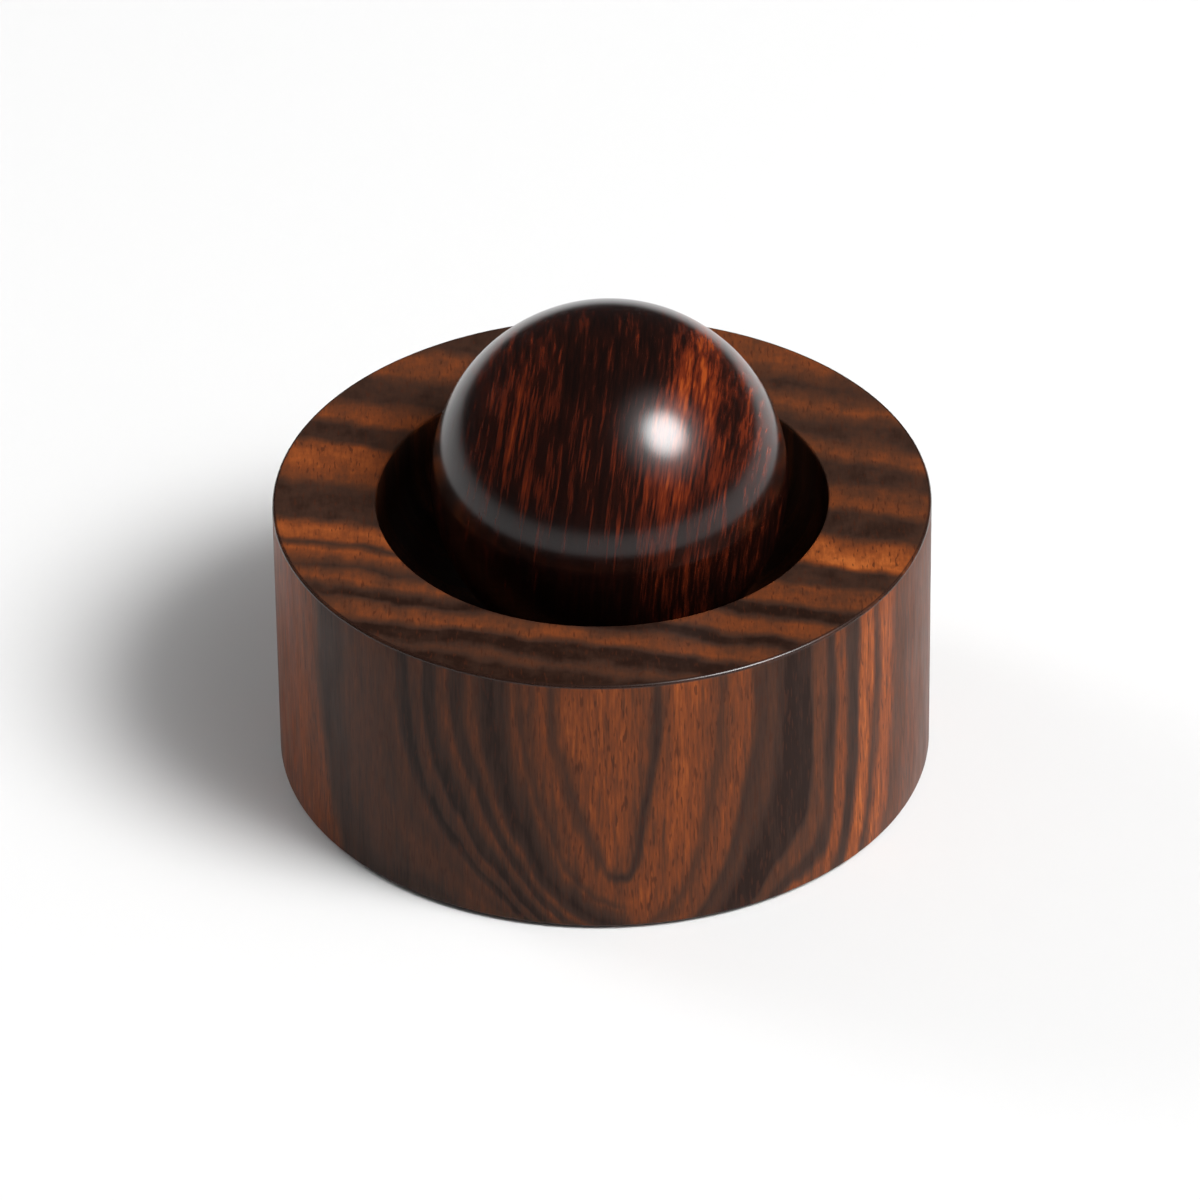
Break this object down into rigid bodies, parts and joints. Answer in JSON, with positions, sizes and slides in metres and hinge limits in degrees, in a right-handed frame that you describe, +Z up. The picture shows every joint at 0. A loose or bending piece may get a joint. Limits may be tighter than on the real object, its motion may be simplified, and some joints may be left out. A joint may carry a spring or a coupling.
{
  "type": "wooden ball mallet and block",
  "caption": "Polished wooden striking ball resting in the round hollow of a short turned wooden block; the ball lifts out by hand to strike or crush what lies in the hollow.",
  "frame": {"origin": "centre of the flat underside that the object stands on, on the axis of the turned block", "axes": "+Z up along the block's turning axis; the ball lies a little off that axis towards +X; -Y is the front"},
  "size_m": [0.12, 0.12, 0.0903],
  "materials": {
    "block_wood": "satin oil finish over dark striped rosewood, dark brown-black and orange-brown growth bands",
    "ball_wood": "high-gloss clear lacquer over dark red-black wood with fine orange-red streaks",
    "pad_leather": "dark brown leather, rough side out"
  },
  "bodies": {
    "block": {"block": "block_wood", "base_pad": "pad_leather"},
    "ball": {"ball": "ball_wood"}
  },
  "joints": [
    {"name": "ball_lift", "type": "slide", "parent": "block", "child": "ball", "axis": [0, 0, 1], "range_m": [0, 0.08]}
  ]
}
